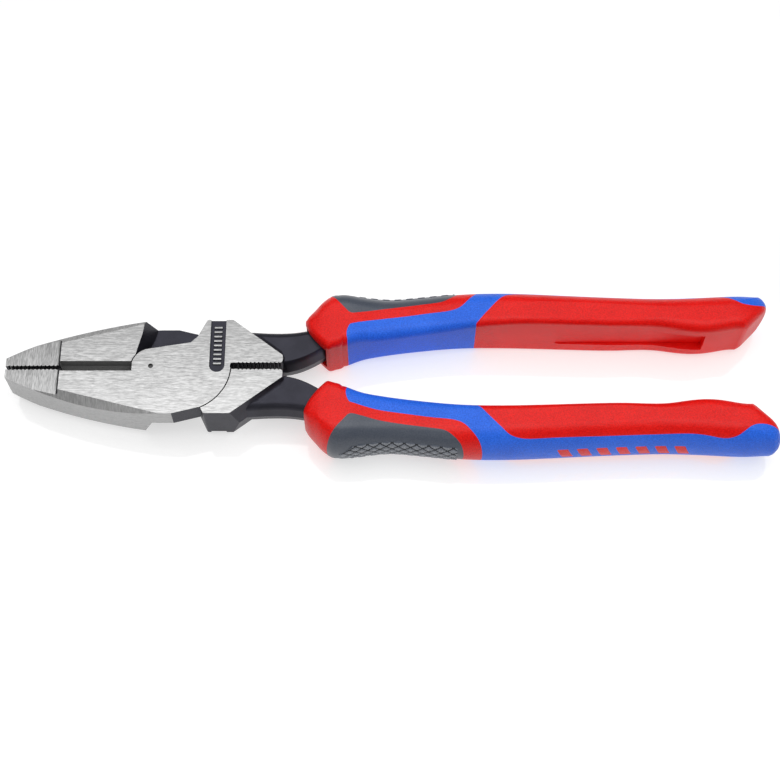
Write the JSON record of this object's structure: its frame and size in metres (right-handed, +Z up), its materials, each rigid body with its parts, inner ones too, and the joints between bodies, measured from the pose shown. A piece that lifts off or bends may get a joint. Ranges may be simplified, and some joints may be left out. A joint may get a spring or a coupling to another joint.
{
  "type": "lineman pliers",
  "caption": "Heavy combination pliers with toothed jaws, wire cutter, crimping teeth behind the joint, and long soft-touch grips on a riveted lap joint.",
  "frame": {"origin": "middle of the bottom of the part's box, with the pliers closed and lying flat on their grips", "axes": "+X from the jaws to the handle ends, +Z up along the rivet, +Y towards the front half's handle"},
  "size_m": [0.24, 0.0548, 0.021],
  "materials": {
    "forged_steel": "ground faces, black elsewhere",
    "rivet_steel": "ground flush",
    "red_sleeve": "fine grain",
    "blue_overmould": "fine grain",
    "grey_pad": "matt, scaled outside"
  },
  "bodies": {
    "front_arm": {"front_half": "forged_steel", "pivot_rivet": "rivet_steel", "front_grip_sleeve": "red_sleeve", "front_grip_overmould": "blue_overmould", "front_thumb_pad": "grey_pad"},
    "back_arm": {"back_half": "forged_steel", "back_grip_sleeve": "red_sleeve", "back_grip_overmould": "blue_overmould", "back_thumb_pad": "grey_pad"}
  },
  "joints": [
    {"name": "rivet_hinge", "type": "hinge", "parent": "front_arm", "child": "back_arm", "pos_m": [-0.0746, 0, 0.0105], "axis": [0, 0, -1], "range_deg": [0, 50]}
  ]
}
